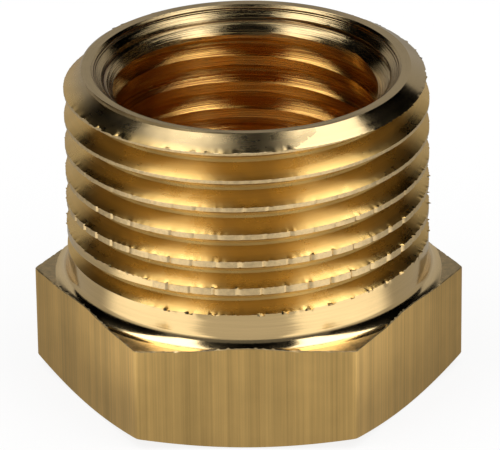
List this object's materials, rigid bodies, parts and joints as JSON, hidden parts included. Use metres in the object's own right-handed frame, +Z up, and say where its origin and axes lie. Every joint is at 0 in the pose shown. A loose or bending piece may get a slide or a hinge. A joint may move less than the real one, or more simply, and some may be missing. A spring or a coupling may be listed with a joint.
{
  "type": "hex bushing",
  "caption": "Brass hexagon reducing bushing: a short tapered male pipe thread on a hexagon head, with a parallel female pipe thread right through it.",
  "frame": {"origin": "middle of the hexagon end, on the thread axis", "axes": "+Z up the axis from the hexagon end to the male end, two flats of the hexagon square to Y"},
  "size_m": [0.0196, 0.017, 0.015],
  "materials": {
    "brass": "as turned and drawn, satin to bright"
  },
  "bodies": {
    "root": {"hex_bushing": "brass"}
  },
  "joints": []
}
